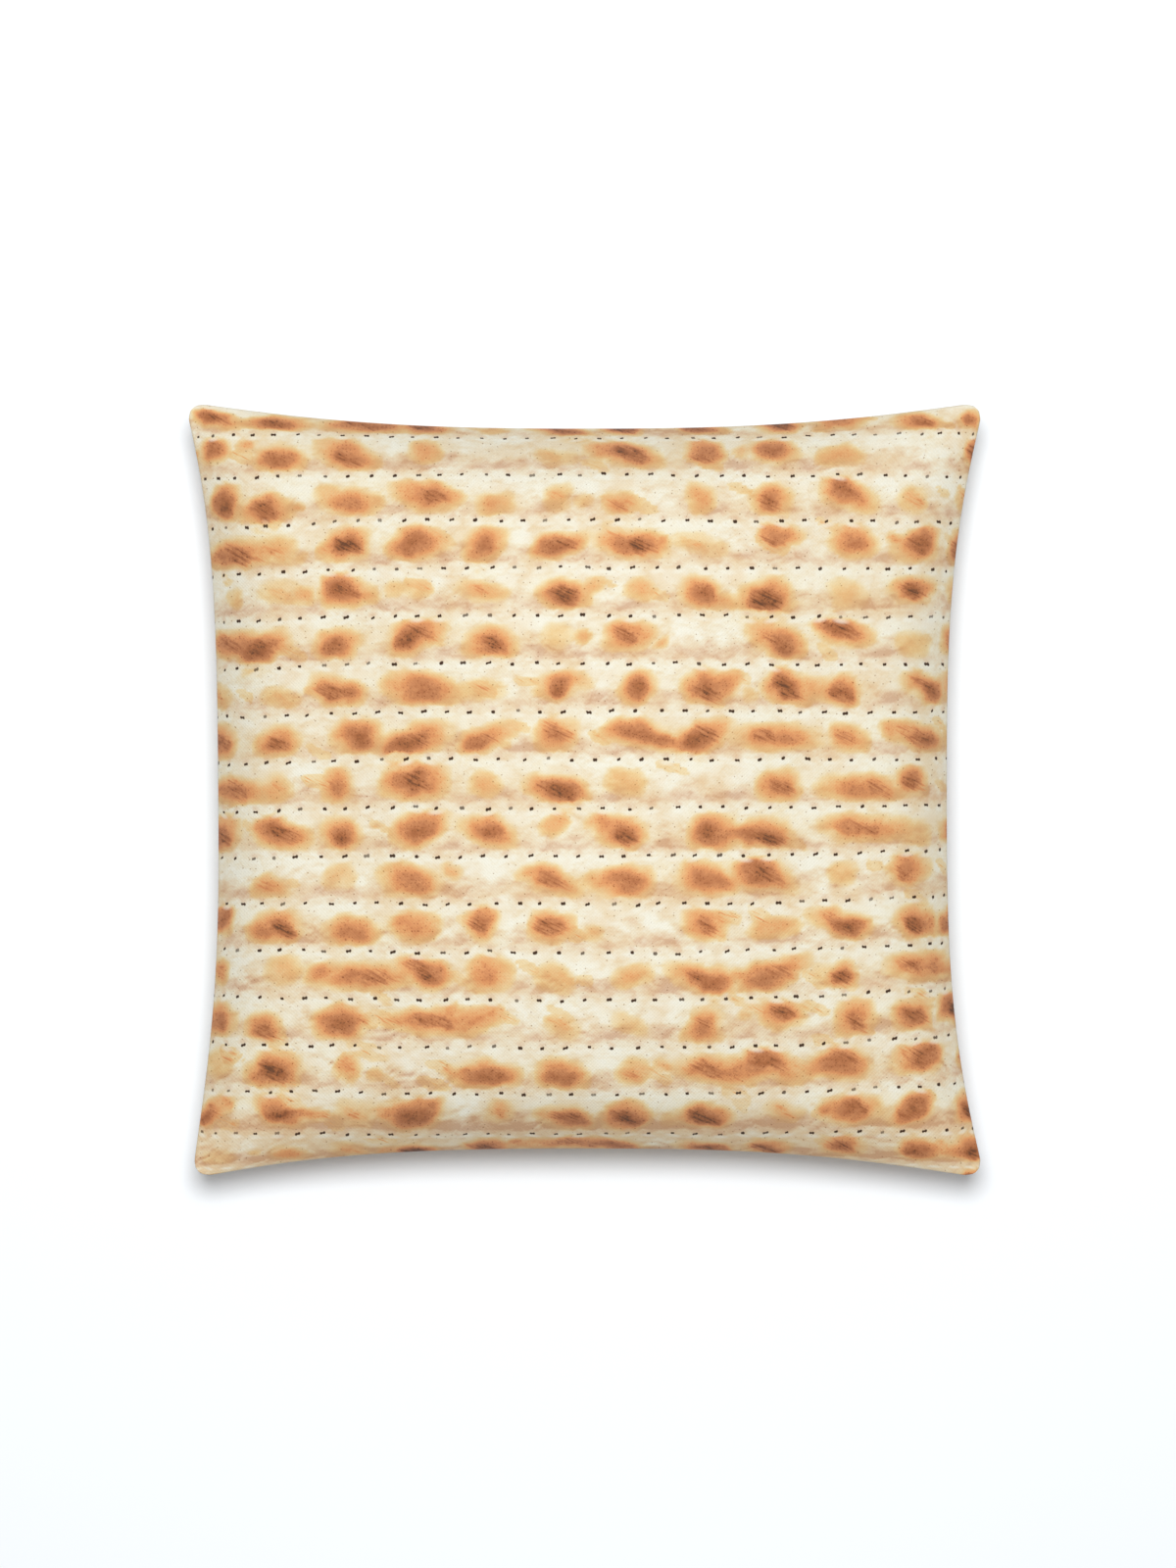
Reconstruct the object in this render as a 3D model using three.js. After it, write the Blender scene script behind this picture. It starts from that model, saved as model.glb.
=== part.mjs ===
// A square throw cushion lying flat on its back, with its printed face up.
//
// Two square cloth panels are sewn together edge to edge and stuffed, so the
// body is a pillow: a tall crown above the seam, a shallower belly below it,
// sides that draw in between four soft corners, and a flat spot underneath
// where the stuffing's own weight presses the belly on to what it lies on.
//
// Units are millimetres and +Z is up. The origin is on the flat spot, under
// the middle of the cushion. +Y points to the top edge of the printed face.

import * as THREE from 'three';
import { mergeVertices } from 'three/addons/utils/BufferGeometryUtils.js';

// Driving dimensions
const WIDTH = 450;             // across X, corner to corner
const LENGTH = 438;            // across Y, corner to corner
const SIDE_DRAW_IN = 18.4;     // how far the middle of the left and right sides pulls in
const END_DRAW_IN = 14.4;      // how far the middle of the top and bottom sides pulls in
const DRAW_IN_SHAPE = 0.8;     // under 1, the pull is even along the side and fades only near its corners
const CORNER_RADIUS = 7;       // of each corner, seen from above
const SEAM_HEIGHT = 56;        // of the seam line above what the cushion lies on
const SEAM_BAND = 1.6;         // the two turned cloth edges that meet at the seam
const CROWN = 66;              // the printed face's rise above the seam
const FREE_BELLY = 70;         // the back's drop below the seam, had nothing been under it
const BELLY_ROLL = 8;          // how softly the belly rolls on to its flat spot
const CELLS = 44;              // grid cells along each side of a panel

// A place on a panel is (p, q), each from -1 to 1 across the cushion and 0 at
// its middle. Grid lines are spaced by a sine, closer towards the seam, where
// the cloth turns steeply.
const gridLine = (n) => Math.sin((Math.PI / 2) * n);

// How much of p, and of q, a rounded corner takes up.
const CORNER_REACH = [CORNER_RADIUS / (WIDTH / 2), CORNER_RADIUS / (LENGTH / 2)];

// How far a side pulls in at q along it, as a share of its pull at the middle.
// It is 0 from where the corner's rounding begins, so the corners keep the full size.
const drawIn = (q, cornerReach) =>
  Math.pow(Math.max(0, 1 - (q / (1 - cornerReach)) ** 2), DRAW_IN_SHAPE);

// Rounds a panel's corners: inside each corner's square, a square ring of
// points becomes a quarter circle of the same reach.
function roundCorner(p, q) {
  const reach = CORNER_REACH;
  const into = [Math.abs(p), Math.abs(q)].map((v, i) => (v - (1 - reach[i])) / reach[i]);
  if (into[0] <= 0 || into[1] <= 0) {
    return [p, q];
  }
  const squeeze = Math.max(...into) / Math.hypot(...into);
  const rounded = into.map((v, i) => 1 - reach[i] + v * squeeze * reach[i]);
  return [Math.sign(p) * rounded[0], Math.sign(q) * rounded[1]];
}

// Where (p, q) lies in plan, between sides that draw in.
function planPoint(p, q) {
  const [pr, qr] = roundCorner(p, q);
  return [
    pr * (WIDTH / 2 - SIDE_DRAW_IN * drawIn(qr, CORNER_REACH[1])),
    qr * (LENGTH / 2 - END_DRAW_IN * drawIn(pr, CORNER_REACH[0])),
  ];
}

// How full the stuffing is at (p, q), from 0 on the seam to 1 in the middle.
// Both middle sections are half ellipses, and the corners thin out.
const fullness = (p, q) => Math.sqrt(Math.max(0, (1 - p * p) * (1 - q * q)));

// Height that stays above 0, with a short round turn where it lands there.
function landOnFloor(height) {
  if (height <= -BELLY_ROLL) {
    return 0;
  }
  return height >= BELLY_ROLL ? height : (height + BELLY_ROLL) ** 2 / (4 * BELLY_ROLL);
}

const faceHeight = (p, q) => SEAM_HEIGHT + SEAM_BAND / 2 + CROWN * fullness(p, q);
const backHeight = (p, q) => landOnFloor(SEAM_HEIGHT - SEAM_BAND / 2 - FREE_BELLY * fullness(p, q));

// A box of 2 x 2 x 2 whose top and bottom faces are the two panels' grids and
// whose four walls become the seam band.
function cushionGeometry() {
  const geometry = new THREE.BoxGeometry(2, 2, 2, CELLS, CELLS, 1);
  geometry.deleteAttribute('normal');
  geometry.deleteAttribute('uv');
  const position = geometry.getAttribute('position');
  for (let i = 0; i < position.count; i += 1) {
    const p = gridLine(position.getX(i));
    const q = gridLine(position.getY(i));
    const height = position.getZ(i) > 0 ? faceHeight(p, q) : backHeight(p, q);
    position.setXYZ(i, ...planPoint(p, q), height);
  }
  const closed = mergeVertices(geometry);
  closed.computeVertexNormals();
  return closed;
}

const printedCloth = new THREE.MeshStandardMaterial({
  color: 0xeedfbe,
  roughness: 0.85,
  metalness: 0,
});

const cushion = new THREE.Mesh(cushionGeometry(), printedCloth);
cushion.name = 'cushion';

const group = new THREE.Group();
group.add(cushion);

export default group;
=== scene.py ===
"""A square throw cushion, stuffed and printed all over with rows of toasted flatbread.

The cover is two flat panels sewn edge to edge. A cloth simulation stuffs it and lays it on its back, and
numpy surfaces then give it its seam, its puckers and its print. Everything is in metres, in the frame of
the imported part, apart from the print, whose own rule is written in millimetres of flat cloth.
"""

import logging
import math
from dataclasses import dataclass, field, replace
from enum import Enum
from typing import Any, Callable, ClassVar, Iterator, Sequence

import bpy
import numpy as np
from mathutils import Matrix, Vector


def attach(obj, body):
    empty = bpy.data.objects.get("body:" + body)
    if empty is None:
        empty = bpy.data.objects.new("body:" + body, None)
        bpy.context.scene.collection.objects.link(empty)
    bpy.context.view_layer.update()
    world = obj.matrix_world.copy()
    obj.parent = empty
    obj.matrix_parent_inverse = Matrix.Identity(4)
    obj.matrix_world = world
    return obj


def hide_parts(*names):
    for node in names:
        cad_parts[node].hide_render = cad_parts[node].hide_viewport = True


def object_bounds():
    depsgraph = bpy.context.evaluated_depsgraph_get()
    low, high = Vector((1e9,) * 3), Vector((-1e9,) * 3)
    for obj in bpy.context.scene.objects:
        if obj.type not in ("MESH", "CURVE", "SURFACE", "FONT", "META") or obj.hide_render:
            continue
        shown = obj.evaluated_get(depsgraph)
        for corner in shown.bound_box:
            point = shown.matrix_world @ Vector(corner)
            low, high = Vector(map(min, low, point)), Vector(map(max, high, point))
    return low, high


Array = np.ndarray
Draws = np.random.Generator
Pair = tuple[float, float]
Screen = tuple[int, int, int]
LOG = logging.getLogger("throw_cushion")

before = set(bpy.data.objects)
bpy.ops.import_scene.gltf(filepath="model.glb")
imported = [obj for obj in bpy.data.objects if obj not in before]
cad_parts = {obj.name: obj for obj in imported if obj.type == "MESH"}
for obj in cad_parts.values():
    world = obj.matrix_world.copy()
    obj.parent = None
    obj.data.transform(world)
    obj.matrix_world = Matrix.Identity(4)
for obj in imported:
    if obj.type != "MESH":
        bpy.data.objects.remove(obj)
CAD_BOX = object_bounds()
NODE = "cushion"

MILLIMETRES = 1000.0  # in a metre
TINY = 1e-12  # the least length that anything is divided by

# The print's own measures in millimetres: from one row of docking marks to the next, and from mark to mark
# along a row. Its scars and streaks run along the drag angle.
ROW_PITCH = 26.6
MARK_PITCH = 13.1
DRAG_ANGLE = math.radians(-27.0)


# ---------------------------------------------------------------------------------------------- maths


def ease(low: float, high: float, x: Array) -> Array:
    """Rise smoothly from 0 at low to 1 at high, as 3t squared less 2t cubed; low may be the larger one."""
    t = np.clip((x - low) / (high - low), 0.0, 1.0)
    return t * t * (3.0 - 2.0 * t)


def shares(q: Array) -> tuple[Array, Array]:
    """How near q is to 1 and how near to -1, as two shares that add up to 1."""
    return (1.0 + q) / 2.0, (1.0 - q) / 2.0


def outward(panel: Array, up: bool) -> Array:
    """Find which way is out of a panel, from the cross product of its steps along both grid directions.

    Args:
        panel: The panel's grid of points.
        up: Whether out is up, as on the face.

    Returns:
        The unit direction at each point.
    """
    normal = np.cross(np.gradient(panel, axis=0), np.gradient(panel, axis=1))
    normal /= np.maximum(np.linalg.norm(normal, axis=-1, keepdims=True), TINY)
    return normal if up else -normal


def cell_corners(ids: Array) -> Array:
    """The four numbers round each cell of a grid of numbers, anticlockwise as seen from above."""
    ring = (ids[:-1, :-1], ids[1:, :-1], ids[1:, 1:], ids[:-1, 1:])
    return np.stack(ring, axis=-1).reshape(-1, 4)


def in_scene(data: bpy.types.ID) -> bpy.types.Object:
    """Make an object of a mesh, a lamp or a camera, with its name, and link it to the scene.

    Args:
        data: The mesh, lamp or camera.

    Returns:
        The object.
    """
    made = bpy.data.objects.new(data.name, data)
    bpy.context.scene.collection.objects.link(made)
    return made


def square_floor(name: str, size: float) -> bpy.types.Object:
    """Lay a level square of one face in the middle of the floor.

    Args:
        name: The name of its mesh and its object.
        size: Its side.

    Returns:
        The object, linked to the scene.
    """
    half = size / 2.0
    corners = [(-half, -half, 0.0), (half, -half, 0.0), (half, half, 0.0), (-half, half, 0.0)]
    mesh = bpy.data.meshes.new(name)
    mesh.from_pydata(corners, [], [(0, 1, 2, 3)])
    return in_scene(mesh)


@dataclass(frozen=True)
class LatticeNoise:
    """Seeded smooth noise over the plane, about -1 to 1.

    Each corner of a square lattice has a random slope. Inside a cell the four corners' slopes are blended
    with the quintic ease 6t^5 - 15t^4 + 10t^3 and multiplied by lift, and octaves add the same at half the
    size.
    """

    seed: int
    lift: float = 2.2
    most_octaves: int = 31

    def __call__(
        self, x: Array, y: Array, size: float, salt: int, octaves: int = 1, gain: float = 0.5
    ) -> Array:
        """Evaluate the noise.

        Args:
            x: First coordinates.
            y: Second coordinates, of the same shape.
            size: Width of a lattice cell, in the unit of x and y.
            salt: Number of this field, so that fields of one seed differ.
            octaves: How many layers are added.
            gain: How strong each layer is next to the one before.

        Returns:
            The noise at each point.
        """
        total = np.zeros_like(x)
        weight = 1.0
        power = 0.0
        for octave in range(octaves):
            zoom = 2.0**octave / size
            total = total + weight * self._layer(x * zoom, y * zoom, salt * self.most_octaves + octave)
            power += weight * weight
            weight *= gain
        return total / math.sqrt(power)

    def _layer(self, x: Array, y: Array, salt: int) -> Array:
        """Work out one layer of the noise, on a lattice of unit cells.

        Args:
            x: First coordinates, in cells.
            y: Second coordinates, in cells.
            salt: Number of this layer.

        Returns:
            The layer at each point.
        """
        col = np.floor(x).astype(int)
        row = np.floor(y).astype(int)
        first_col, first_row = col.min(), row.min()
        shape = (col.max() - first_col + 2, row.max() - first_row + 2, 2)
        slopes = np.random.default_rng([self.seed, salt]).uniform(-1.0, 1.0, shape)
        fx, fy = x - col, y - row
        bx, by = (f**3 * (f * (f * 6.0 - 15.0) + 10.0) for f in (fx, fy))

        def corner(i: int, j: int) -> Array:
            """Height of the slope planted at one corner of each point's cell."""
            slope = slopes[col - first_col + i, row - first_row + j]
            return slope[..., 0] * (fx - i) + slope[..., 1] * (fy - j)

        low = corner(0, 0) * (1.0 - bx) + corner(1, 0) * bx
        high = corner(0, 1) * (1.0 - bx) + corner(1, 1) * bx
        return self.lift * (low * (1.0 - by) + high * by)


@dataclass(frozen=True)
class Ripple:
    """One field of lattice noise: its strength, the width of its cells, its number and how it is made.

    squash multiplies the second coordinate, so that the field's lumps are longer one way.
    """

    strength: float
    size: float
    salt: int
    octaves: int = 2
    gain: float = 0.5
    squash: float = 1.0

    def at(self, seed: int, x: Array, y: Array) -> Array:
        """Strength times the seed's noise at each point."""
        noise = LatticeNoise(seed)
        return self.strength * noise(x, y * self.squash, self.size, self.salt, self.octaves, self.gain)


# ----------------------------------------------------------------------------------------- the cover


@dataclass(frozen=True)
class SideDraw:
    """How far a stuffed side pulls in: its depth in the middle, and how flat that stretch is.

    lean makes the stretch flatter towards the side's right or top end than towards its other end.
    """

    depth: float
    flatness: float
    lean: float = 0.0
    rounding: float = 1.1

    def at(self, q: Array) -> Array:
        """Pull at q, -1 to 1 along the side: depth times (1 - |q|^(flatness + lean q))^rounding."""
        drawn = 1.0 - np.abs(q) ** (self.flatness + self.lean * q)
        return self.depth * np.clip(drawn, 0.0, 1.0) ** self.rounding


@dataclass(frozen=True)
class Swell:
    """How the stuffing's height falls off from the middle of the cushion to the seams of one direction.

    The share edge of it falls off over the last stretch before the seam, the rest more evenly.
    """

    edge: float
    edge_power: float
    power: float

    def at(self, q: Array) -> Array:
        """Height at q, -1 to 1: edge (1 - |q|^edge_power) + (1 - edge) (1 - |q|^power)."""
        reach = np.abs(q)
        return self.edge * (1.0 - reach**self.edge_power) + (1.0 - self.edge) * (1.0 - reach**self.power)


@dataclass(frozen=True)
class CoverCut:
    """The flat cut of the cover's two panels, and the outline that it takes once it is stuffed."""

    width: float = 0.457
    length: float = 0.457
    corner_radius: float = 0.009
    stuffed_width: float = 0.450
    stuffed_length: float = 0.438
    left: SideDraw = SideDraw(0.0148, 3.1, 0.6)
    right: SideDraw = SideDraw(0.0188, 3.1)
    top: SideDraw = SideDraw(0.0134, 2.6)
    bottom: SideDraw = SideDraw(0.0148, 2.8, -0.3)
    short_corner: float = 0.0033
    seam_height: float = 0.056
    crown: float = 0.066
    free_belly: float = 0.070
    belly_roll: float = 0.008
    side_swell: Swell = Swell(0.29, 12.0, 2.0)
    end_swell: Swell = Swell(0.30, 10.0, 5.0)

    def rounded(self, s: Array, t: Array) -> tuple[Array, Array]:
        """Round a panel's corners: in each corner's square, a square ring becomes a quarter circle.

        Args:
            s: Places across the panel, -1 to 1.
            t: Places along the panel, -1 to 1.

        Returns:
            The places moved on to the rounded panel.
        """
        reach_s = self.corner_radius / (self.width / 2.0)
        reach_t = self.corner_radius / (self.length / 2.0)
        into_s = (np.abs(s) - (1.0 - reach_s)) / reach_s
        into_t = (np.abs(t) - (1.0 - reach_t)) / reach_t
        inside = (into_s > 0.0) & (into_t > 0.0)
        squeeze = np.maximum(into_s, into_t) / np.maximum(np.hypot(into_s, into_t), TINY)
        round_s = np.sign(s) * (1.0 - reach_s + into_s * squeeze * reach_s)
        round_t = np.sign(t) * (1.0 - reach_t + into_t * squeeze * reach_t)
        return np.where(inside, round_s, s), np.where(inside, round_t, t)

    def flat(self, s: Array, t: Array) -> tuple[Array, Array]:
        """Where (s, t) lies on the flat panel, in metres from its middle."""
        round_s, round_t = self.rounded(s, t)
        return round_s * self.width / 2.0, round_t * self.length / 2.0

    def outline(self, s: Array, t: Array) -> tuple[Array, Array]:
        """Where (s, t) lies in plan once stuffed, between four sides that draw in.

        Two facing sides' draws are shared out between them by the place. They are 0 from where the
        corners' rounding begins. The lower left corner is short_corner nearer to the middle.

        Args:
            s: Places across the panel, -1 to 1.
            t: Places along the panel, -1 to 1.

        Returns:
            X and Y in metres.
        """
        reach = self.corner_radius / (self.width / 2.0)
        round_s, round_t = self.rounded(s, t)
        along_s, along_t = (np.clip(q / (1.0 - reach), -1.0, 1.0) for q in (round_s, round_t))
        right, left = shares(round_s)
        up, down = shares(round_t)
        x = round_s * self.stuffed_width / 2.0 + left * down * self.short_corner
        x = x + left * self.left.at(along_t) - right * self.right.at(along_t)
        y = round_t * self.stuffed_length / 2.0
        y = y + down * self.bottom.at(along_s) - up * self.top.at(along_s)
        return x, y

    def heights(self, s: Array, t: Array) -> tuple[Array, Array]:
        """Heights of the two stuffed panels before the simulation.

        Fullness is the side swell at s times the end swell at t: the panels meet at the seam like a knife's
        edge and are stuffed tighter towards the top and the bottom than towards the sides. The face rises
        from the seam by crown times it, and the back drops by free_belly times it until it lands on the
        floor with a short round turn.

        Args:
            s: Places across the panel, -1 to 1.
            t: Places along the panel, -1 to 1.

        Returns:
            Z of the face and Z of the back, in metres.
        """
        full = self.side_swell.at(s) * self.end_swell.at(t)
        drop = self.seam_height - self.free_belly * full
        roll = self.belly_roll
        landed = np.where(drop < roll, (drop + roll) ** 2 / (4.0 * roll), drop)
        return self.seam_height + self.crown * full, np.where(drop < -roll, 0.0, landed)


@dataclass
class PanelGrid:
    """The face and the back as two grids of points that share their rim, which is the seam."""

    s: Array
    t: Array
    face: Array
    back: Array

    @property
    def lines(self) -> int:
        """How many grid lines each panel has along a side."""
        return len(self.s)

    def numbering(self) -> tuple[Array, Array, Array]:
        """Number the points of both panels once each.

        Returns:
            The face's point numbers, the back's point numbers, and which points of the back are its own.
        """
        n = self.lines
        face = np.arange(n * n).reshape(n, n)
        own = np.zeros((n, n), dtype=bool)
        own[1:-1, 1:-1] = True
        back = face.copy()
        back[own] = n * n + np.arange(own.sum())
        return face, back, own

    def points(self) -> Array:
        """All points once, the face's first."""
        _, _, own = self.numbering()
        return np.concatenate([self.face.reshape(-1, 3), self.back[own]])

    def quads(self) -> Array:
        """The four corners of each cell of the face, then of the back, so that both look outwards."""
        face, back, _ = self.numbering()
        return np.concatenate([cell_corners(face), cell_corners(back)[:, ::-1]])


@dataclass(frozen=True)
class Stuffing:
    """The cloth simulation that stuffs the flat cover and lets it settle on the floor."""

    cells: int = 96
    frames: int = 36
    quality: int = 6
    volume: float = 0.0131
    firmness: float = 300.0
    weight: float = 0.57
    tension: float = 20.0
    compression: float = 10.0
    shear: float = 5.0
    bending: float = 0.05
    damping: float = 15.0
    air_drag: float = 5.0
    loft: float = 0.0005
    floor_size: float = 1.2
    floor_gap: float = 0.001
    friction: float = 20.0
    largest_move: float = 0.010
    calming: int = 4
    move_reach: float = 0.10

    def settle(self, cut: CoverCut) -> PanelGrid:
        """Stuff the cover.

        Args:
            cut: The flat cut and the outline that it should take.
        """
        even = np.linspace(-1.0, 1.0, self.cells + 1)
        s, t = np.meshgrid(even, even, indexing="ij")
        x, y = cut.outline(s, t)
        top, bottom = cut.heights(s, t)
        shaped = PanelGrid(even, even, np.stack([x, y, top], -1), np.stack([x, y, bottom], -1))
        u, v = cut.flat(s, t)
        loft = self.loft * (1.0 - s * s) * (1.0 - t * t)
        level = np.full_like(u, cut.seam_height)
        flat = PanelGrid(even, even, np.stack([u, v, level + loft], -1), np.stack([u, v, level - loft], -1))
        return self._moved(flat, shaped, self._simulate(flat, shaped))

    def _simulate(self, flat: PanelGrid, shaped: PanelGrid) -> Array:
        """Run the cloth from the shaped cover, with the flat cover as its rest shape.

        Args:
            flat: The cover as it was cut, with its panels a little apart in the middle.
            shaped: The cover in its stuffed outline.

        Returns:
            Where each point of the cover settles.
        """
        scene = bpy.context.scene
        mesh = bpy.data.meshes.new("cover_cloth")
        mesh.from_pydata(flat.points(), [], flat.quads())
        cloth = in_scene(mesh)
        rest = cloth.shape_key_add(name="flat_cut")
        start = cloth.shape_key_add(name="stuffed")
        start.data.foreach_set("co", shaped.points().ravel())
        start.value = 1.0
        modifier = cloth.modifiers.new("stuffing", "CLOTH")
        self._set_up(modifier, rest, len(mesh.vertices))
        floor = self._lay_floor()
        scene.frame_start = 1
        scene.frame_end = self.frames
        modifier.point_cache.frame_end = self.frames
        for step in range(1, self.frames + 1):
            scene.frame_set(step)
        graph = bpy.context.evaluated_depsgraph_get()
        settled = np.empty(len(mesh.vertices) * 3)
        result = cloth.evaluated_get(graph)
        result.data.vertices.foreach_get("co", settled)
        for used in (cloth, floor):
            data = used.data
            bpy.data.objects.remove(used)
            bpy.data.meshes.remove(data)
        scene.frame_set(1)
        return settled.reshape(-1, 3)

    def _set_up(self, modifier: bpy.types.ClothModifier, rest: bpy.types.ShapeKey, count: int) -> None:
        """Give the cloth its fabric, its stuffing pressure and its weight.

        Args:
            modifier: The cloth modifier.
            rest: The shape in which the fabric is slack.
            count: How many points share the weight.
        """
        cloth = modifier.settings
        cloth.quality = self.quality
        cloth.mass = self.weight / count
        cloth.air_damping = self.air_drag
        cloth.tension_stiffness = self.tension
        cloth.compression_stiffness = self.compression
        cloth.shear_stiffness = self.shear
        cloth.bending_stiffness = self.bending
        cloth.tension_damping = self.damping
        cloth.compression_damping = self.damping
        cloth.shear_damping = self.damping
        cloth.use_pressure = True
        cloth.pressure_factor = self.firmness
        cloth.use_pressure_volume = True
        cloth.target_volume = self.volume
        cloth.rest_shape_key = rest
        modifier.collision_settings.distance_min = self.floor_gap

    def _lay_floor(self) -> bpy.types.Object:
        """Lay a plain floor that the cloth settles on.

        Returns:
            The floor, which is taken away after the simulation.
        """
        floor = square_floor("settling_floor", self.floor_size)
        floor.modifiers.new("collision", "COLLISION")
        floor.collision.thickness_outer = self.floor_gap
        floor.collision.cloth_friction = self.friction
        return floor

    def _moved(self, flat: PanelGrid, shaped: PanelGrid, settled: Array) -> PanelGrid:
        """Move the shaped panels as the cloth settled, less and less towards the seam.

        Args:
            flat: The cover as it was cut, which tells how far a point is from the seam.
            shaped: The cover in its stuffed outline.
            settled: Where each point of the cover settled.

        Returns:
            The settled panels, with their seam still on the outline.
        """
        across, along, _ = np.moveaxis(np.abs(flat.face), -1, 0)
        inset = np.minimum(across.max() - across, along.max() - along)
        fade = ease(0.0, self.move_reach, inset)[..., None]
        face_ids, back_ids, _ = shaped.numbering()
        face = shaped.face + fade * self._calmed(settled[face_ids] - shaped.face)
        back = shaped.back + fade * self._calmed(settled[back_ids] - shaped.back)
        return PanelGrid(shaped.s, shaped.t, face, back)

    def _calmed(self, move: Array) -> Array:
        """Take the crumples out of a panel's movement.

        No point moves by more than largest_move. Then, as many times over as calming, each point takes
        half of its own movement and a quarter of each neighbour's, along both grid directions in turn.

        Args:
            move: How far each point of the panel's grid has moved.

        Returns:
            The calmer movement.
        """
        far = np.linalg.norm(move, axis=-1, keepdims=True)
        move = move * np.minimum(1.0, self.largest_move / np.maximum(far, TINY))
        for _ in range(2 * self.calming):
            padded = np.pad(move, ((1, 1), (0, 0), (0, 0)), "edge")
            move = (0.25 * padded[:-2] + 0.5 * padded[1:-1] + 0.25 * padded[2:]).swapaxes(0, 1)
        return move


@dataclass(frozen=True)
class CoverSurface:
    """Turns the coarse settled panels into the cover's fine surface, with its seam and its puckers."""

    middle_spacing: float = 0.00232
    seam_spacing: float = 0.00055
    spacing_reach: float = 0.024
    spacing_samples: int = 4001
    edge_power: int = 8
    groove_depth: float = 0.0006
    groove_width: float = 0.0008
    lip_height: float = 0.0002
    lip_width: float = 0.0020
    lumps: Ripple = Ripple(0.0004, 0.055, 3)
    lump_reach: float = 0.06
    puckers: Ripple = Ripple(0.00018, 0.009, 7, 2, 0.6)
    pucker_reach: float = 0.009
    pucker_start: float = 0.0016
    pucker_sway: Ripple = Ripple(0.15, 0.03, 5, 1)
    pucker_drift: float = 12.0
    seams_apart: float = 7.0
    pressed_flat: Pair = (0.004, 0.020)
    seed: int = 41

    def lines(self, side: float) -> Array:
        """Grid lines from -1 to 1 across a panel, close together along its seams.

        The spacing grows with the distance from the nearer seam, from seam_spacing to middle_spacing over
        spacing_reach. The count of lines up to a place is the integral of one over that spacing, and the
        lines lie where it passes whole numbers.

        Args:
            side: The panel's width or length in metres.

        Returns:
            The lines' places.
        """
        place = np.linspace(-1.0, 1.0, self.spacing_samples)
        inset = (1.0 - np.abs(place)) * side / 2.0
        grow = ease(0.0, self.spacing_reach, inset)
        spacing = self.seam_spacing + (self.middle_spacing - self.seam_spacing) * grow
        step = side / 2.0 * (place[1] - place[0])
        count = np.concatenate([[0.0], np.cumsum(step * 0.5 * (1.0 / spacing[1:] + 1.0 / spacing[:-1]))])
        whole = int(round(count[-1]))
        return np.interp(np.linspace(0.0, count[-1], whole + 1), count, place)

    def refine(self, coarse: PanelGrid, cut: CoverCut) -> PanelGrid:
        """Pass smooth cubic curves through the coarse grid and read them at the fine grid's lines.

        Args:
            coarse: The settled panels.
            cut: The flat cut, which gives the panels' size.

        Returns:
            The fine panels.
        """
        s = self.lines(cut.width)
        t = self.lines(cut.length)
        across = self._catmull_rom(s, coarse.lines - 1)
        along = self._catmull_rom(t, coarse.lines - 1)
        face = np.einsum("ia,jb,abk->ijk", across, along, coarse.face, optimize=True)
        back = np.einsum("ia,jb,abk->ijk", across, along, coarse.back, optimize=True)
        return PanelGrid(s, t, face, back)

    @staticmethod
    def _catmull_rom(places: Array, cells: int) -> Array:
        """Find the weights that read a Catmull-Rom curve through even points.

        The curve between two points is a cubic whose slope at each of them is half the step between its
        neighbours. Past each end a point is added by going straight on.

        Args:
            places: Where the curve is read, -1 to 1.
            cells: How many steps there are between the points.

        Returns:
            A row of weights for each place, one for each of the cells + 1 points.
        """
        steps = (places + 1.0) / 2.0 * cells
        cell = np.clip(np.floor(steps).astype(int), 0, cells - 1)
        f = steps - cell
        cubic = np.stack(
            [
                -0.5 * f + f**2 - 0.5 * f**3,
                1.0 - 2.5 * f**2 + 1.5 * f**3,
                0.5 * f + 2.0 * f**2 - 1.5 * f**3,
                -0.5 * f**2 + 0.5 * f**3,
            ],
            axis=1,
        )
        weights = np.zeros((len(places), cells + 3))
        rows = np.arange(len(places))
        for offset in range(4):
            weights[rows, cell + offset] += cubic[:, offset]
        weights[:, 1] += 2.0 * weights[:, 0]
        weights[:, 2] -= weights[:, 0]
        weights[:, -2] += 2.0 * weights[:, -1]
        weights[:, -3] -= weights[:, -1]
        return weights[:, 1:-1]

    def fit_outline(self, grid: PanelGrid, cut: CoverCut) -> None:
        """Bring the seam on to the stuffed outline, and share each side's shift out across the panel.

        A side's shift along the other direction reaches in as the share of the place to the edge_power.

        Args:
            grid: The panels, which are changed.
            cut: The flat cut and the outline.
        """
        s, t = np.meshgrid(grid.s, grid.t, indexing="ij")
        want_x, want_y = cut.outline(s, t)
        off_x = want_x - grid.face[..., 0]
        off_y = want_y - grid.face[..., 1]
        right, left = shares(s)
        up, down = shares(t)
        shift_x = right * off_x[-1:, :] + left * off_x[:1, :]
        shift_y = up * off_y[:, -1:] + down * off_y[:, :1]
        rest_x = off_x - shift_x
        rest_y = off_y - shift_y
        power = self.edge_power
        shift_x = shift_x + up**power * rest_x[:, -1:] + down**power * rest_x[:, :1]
        shift_y = shift_y + right**power * rest_y[-1:, :] + left**power * rest_y[:1, :]
        for panel in (grid.face, grid.back):
            panel[..., 0] += shift_x
            panel[..., 1] += shift_y

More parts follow.
